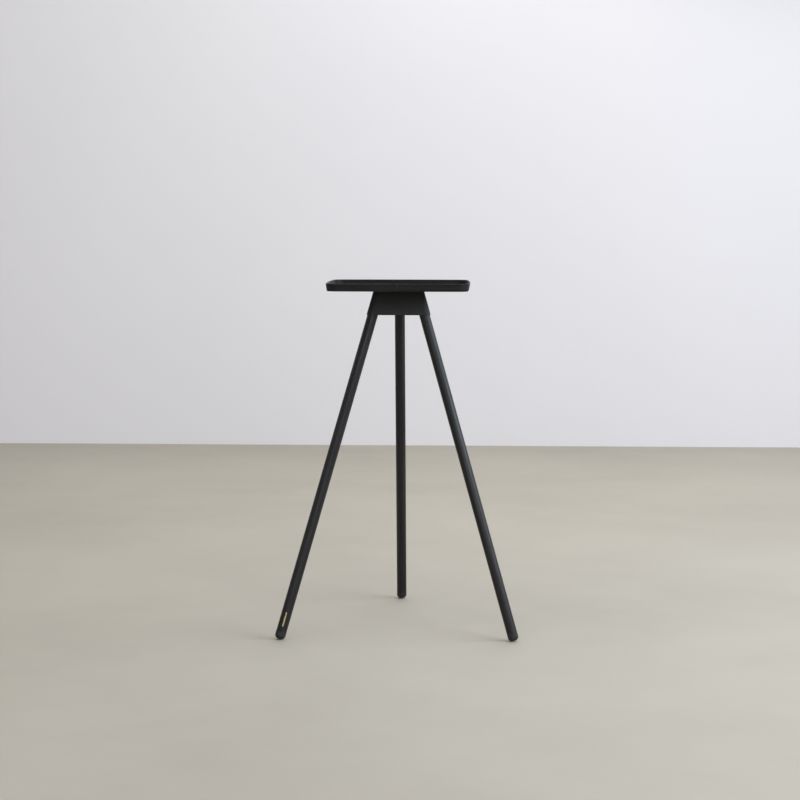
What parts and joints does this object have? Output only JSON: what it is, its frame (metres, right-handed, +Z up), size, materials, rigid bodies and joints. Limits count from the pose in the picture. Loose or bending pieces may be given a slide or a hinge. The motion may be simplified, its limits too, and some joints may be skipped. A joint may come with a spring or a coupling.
{
  "type": "tripod tray stand",
  "caption": "Tall tripod pedestal with a shallow rounded-square tray on a tapered hub and splayed round legs with domed rubber feet.",
  "frame": {"origin": "on the floor, on the vertical axis through the middle of the tray, where the tripod's three leg axes are centred", "axes": "+Z up along the tripod's axis; -Y towards the flat front of the hub, with a leg at each end of it; the rear leg stands towards +Y"},
  "size_m": [0.683, 0.5954, 1],
  "materials": {
    "stained_wood": "satin black stain",
    "stained_wood_leg": "satin black stain",
    "joint_strip": "satin black stain",
    "powder_coat": "matte black powder coat",
    "rubber": "matte",
    "brass": "machined",
    "zinc_steel": "zinc plated",
    "black_steel": "black oxide",
    "gold_foil": "pale gold foil"
  },
  "bodies": {
    "root": {"tray_rim": "stained_wood", "rim_joint_key": "joint_strip", "tray_base": "stained_wood", "tray_inserts": "brass", "tray_washers": "zinc_steel", "tray_screws": "black_steel", "hub_skirt": "powder_coat", "hub_top_plate": "powder_coat", "leg_inserts": "brass", "leg_washers": "zinc_steel", "leg_screws": "black_steel", "mark_foil": "gold_foil", "leg_socket_front_right": "powder_coat", "leg_front_right": "stained_wood_leg", "foot_front_right": "rubber", "leg_socket_rear": "powder_coat", "leg_rear": "stained_wood_leg", "foot_rear": "rubber", "leg_socket_front_left": "powder_coat", "leg_front_left": "stained_wood_leg", "foot_front_left": "rubber"}
  },
  "joints": []
}
